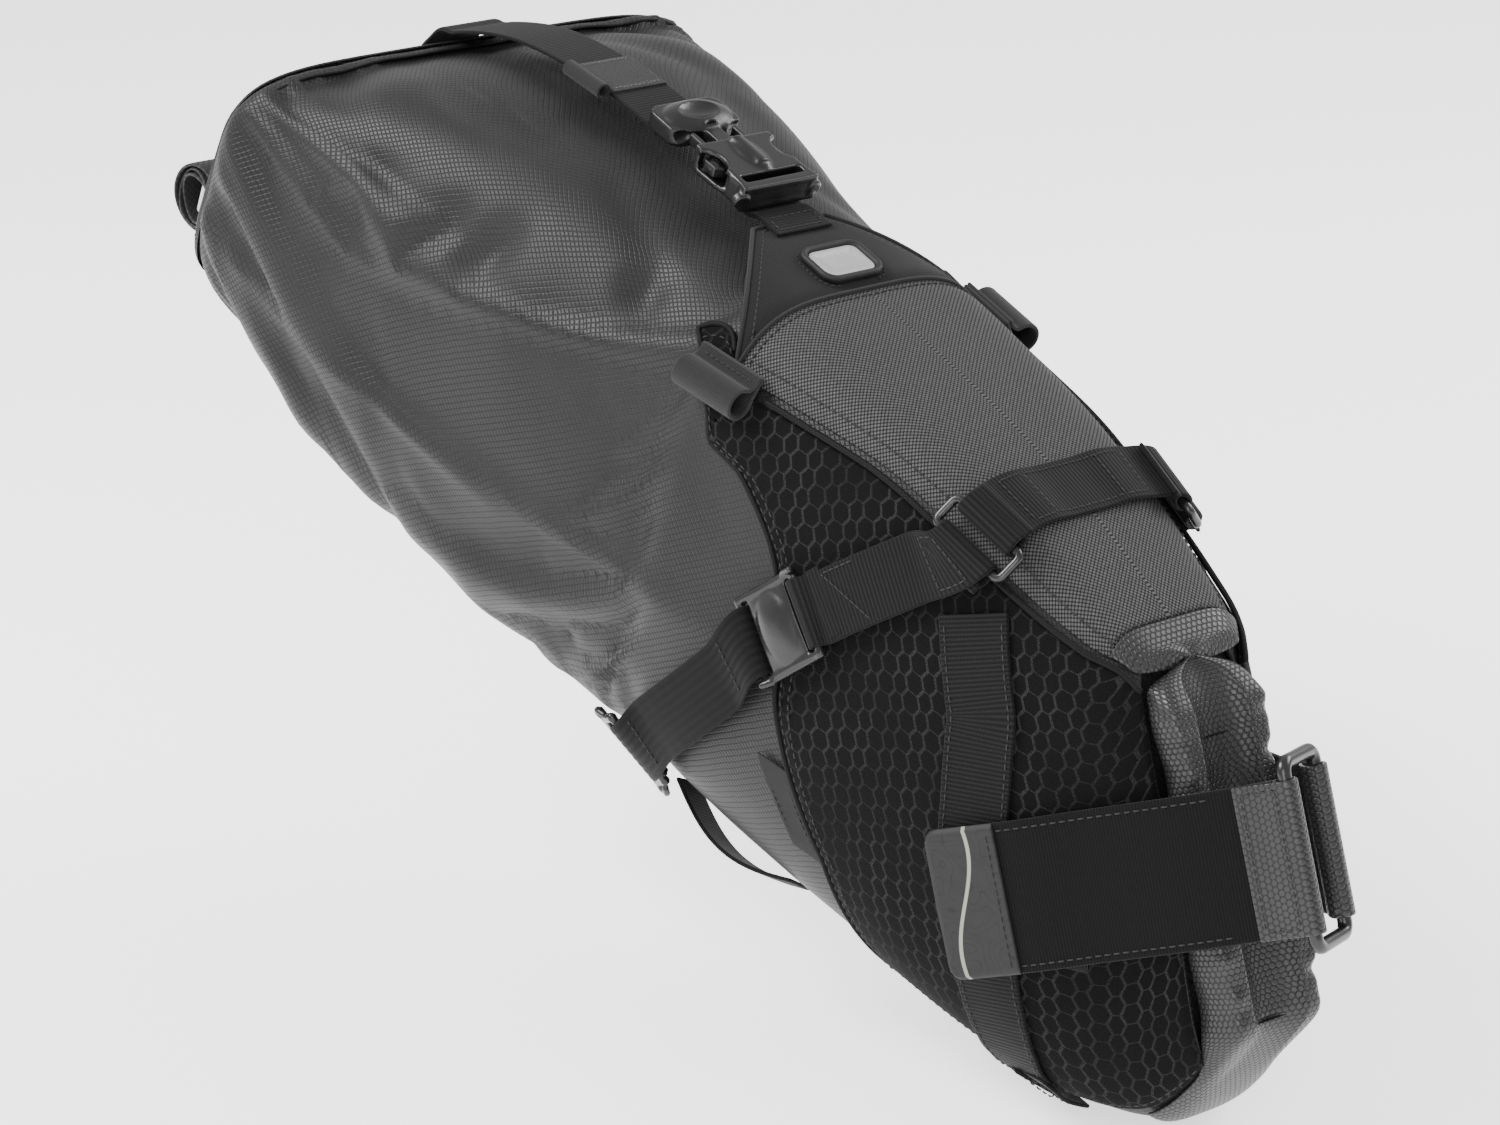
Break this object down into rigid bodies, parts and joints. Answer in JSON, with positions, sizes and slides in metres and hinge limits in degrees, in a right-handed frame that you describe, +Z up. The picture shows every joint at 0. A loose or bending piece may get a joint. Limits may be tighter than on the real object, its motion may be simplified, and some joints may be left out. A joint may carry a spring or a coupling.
{
  "type": "bicycle saddle bag",
  "caption": "Long roll-top saddle bag in a sewn harness: tapered soft body, padded seatpost groove with a closing band, rail straps with hooks, roll closure with a buckled strap.",
  "frame": {"origin": "on the seatpost axis, half way up the seatpost band", "axes": "+X forward to the seatpost, +Y to the rider's left, +Z up as it hangs on the bicycle; the seatpost leans back by 16.3 degrees"},
  "size_m": [0.5282, 0.222, 0.3224],
  "materials": {
    "ripstop": "satin coated diamond ripstop",
    "side_fabric": "matt fine twill with thin grey honeycomb lines",
    "top_fabric": "basket weave with pale yarn dots",
    "tongue_fabric": "matt fine twill",
    "coated_fabric": "glossy coated fabric with small raised dots",
    "webbing": "ribbed nylon webbing",
    "loop_webbing": "fine woven tape",
    "elastic_webbing": "ribbed elastic",
    "band_webbing": "matt napped fastener webbing",
    "fastener_tape": "napped fastener tape",
    "binding": "satin woven binding",
    "stiffener_sheet": "matt plastic sheet",
    "buckle_plastic": "semi-gloss moulded plastic",
    "hardware": "gloss black",
    "badge_rubber": "matt moulded rubber",
    "badge_face": "satin silver",
    "tab_rubber": "matt moulded rubber",
    "label_fabric": "plain woven label"
  },
  "bodies": {
    "bag": {"bag_top": "ripstop", "bag_right": "ripstop", "bag_bottom": "ripstop", "bag_left": "ripstop", "bag_nose": "ripstop", "mouth_hem": "binding", "side_panel_right": "side_fabric", "side_panel_left": "side_fabric", "top_panel": "top_fabric", "tongue_panel": "tongue_fabric", "nose_panel": "coated_fabric", "nose_pad": "coated_fabric", "nose_stiffener": "stiffener_sheet", "base_stiffener": "stiffener_sheet", "piping_right": "binding", "piping_left": "binding", "badge_rim": "badge_rubber", "badge_insert": "badge_face", "side_label": "label_fabric", "cross_webbing": "webbing", "side_webbing_right": "webbing", "side_webbing_left": "webbing", "keeper_loop_right": "loop_webbing", "keeper_loop_left": "loop_webbing", "hook_loop_right": "webbing", "hook_loop_left": "webbing", "band_landing": "fastener_tape", "ring_anchor": "coated_fabric", "tongue_webbing": "webbing", "buckle_socket": "buckle_plastic"},
    "roll": {"roll_closure": "ripstop", "roll_stiffener": "stiffener_sheet", "closure_strap": "webbing", "closure_patch": "fastener_tape", "closure_keeper": "loop_webbing"},
    "buckle_plug": {"buckle_plug": "buckle_plastic"},
    "prong_right": {"buckle_prong_right": "buckle_plastic"},
    "prong_left": {"buckle_prong_left": "buckle_plastic"},
    "ring_right": {"rail_ring_right": "hardware"},
    "ring_left": {"rail_ring_left": "hardware"},
    "rail_strap_right": {"rail_strap_right": "webbing", "hook_plate_right": "hardware", "elastic_right": "elastic_webbing", "lower_hook_right": "hardware"},
    "rail_strap_left": {"rail_strap_left": "webbing", "hook_plate_left": "hardware", "elastic_left": "elastic_webbing", "lower_hook_left": "hardware"},
    "seatpost_ring": {"seatpost_ring": "hardware"},
    "seatpost_band": {"seatpost_band": "band_webbing", "band_wrap": "coated_fabric", "pull_tab": "tab_rubber"}
  },
  "joints": [
    {"name": "roll_open", "type": "hinge", "parent": "bag", "child": "roll", "pos_m": [-0.4828, 0, 0.113], "axis": [0, -1, 0], "range_deg": [0, 100]},
    {"name": "plug_release", "type": "slide", "parent": "roll", "child": "buckle_plug", "axis": [-0.9229, 0, 0.385], "range_m": [0, 0.024]},
    {"name": "prong_right_flex", "type": "hinge", "parent": "buckle_plug", "child": "prong_right", "pos_m": [-0.28329, -0.0095, 0.1954], "axis": [0.385, 0, 0.9229], "range_deg": [0, 6], "stiffness_Nm_per_rad": 0.05},
    {"name": "prong_left_flex", "type": "hinge", "parent": "buckle_plug", "child": "prong_left", "pos_m": [-0.28329, 0.0095, 0.1954], "axis": [-0.385, 0, -0.9229], "range_deg": [0, 6], "stiffness_Nm_per_rad": 0.05},
    {"name": "ring_right_tilt", "type": "hinge", "parent": "bag", "child": "ring_right", "pos_m": [-0.08883, -0.03986, 0.09998], "axis": [-0.8591, -0.1254, 0.4963], "range_deg": [0, 45]},
    {"name": "ring_left_tilt", "type": "hinge", "parent": "bag", "child": "ring_left", "pos_m": [-0.08883, 0.03986, 0.09998], "axis": [0.8591, -0.1254, -0.4963], "range_deg": [0, 45]},
    {"name": "strap_right_swing", "type": "hinge", "parent": "ring_right", "child": "rail_strap_right", "pos_m": [-0.0921, -0.0472, 0.09247], "axis": [-0.8591, -0.1254, 0.4963], "range_deg": [0, 90]},
    {"name": "strap_left_swing", "type": "hinge", "parent": "ring_left", "child": "rail_strap_left", "pos_m": [-0.0921, 0.0472, 0.09247], "axis": [0.8591, -0.1254, -0.4963], "range_deg": [0, 90]},
    {"name": "seatpost_ring_swing", "type": "hinge", "parent": "bag", "child": "seatpost_ring", "pos_m": [0.01094, 0.01823, 0.0032], "axis": [-0.2807, 0, 0.9598], "range_deg": [0, 30]},
    {"name": "band_open", "type": "hinge", "parent": "seatpost_ring", "child": "seatpost_band", "pos_m": [0.02018, -0.00447, 0.0059], "axis": [-0.2807, 0, 0.9598], "range_deg": [0, 120]}
  ],
  "couplings": [
    {"joint": "prong_left_flex", "follows": "prong_right_flex", "ratio": 1}
  ]
}
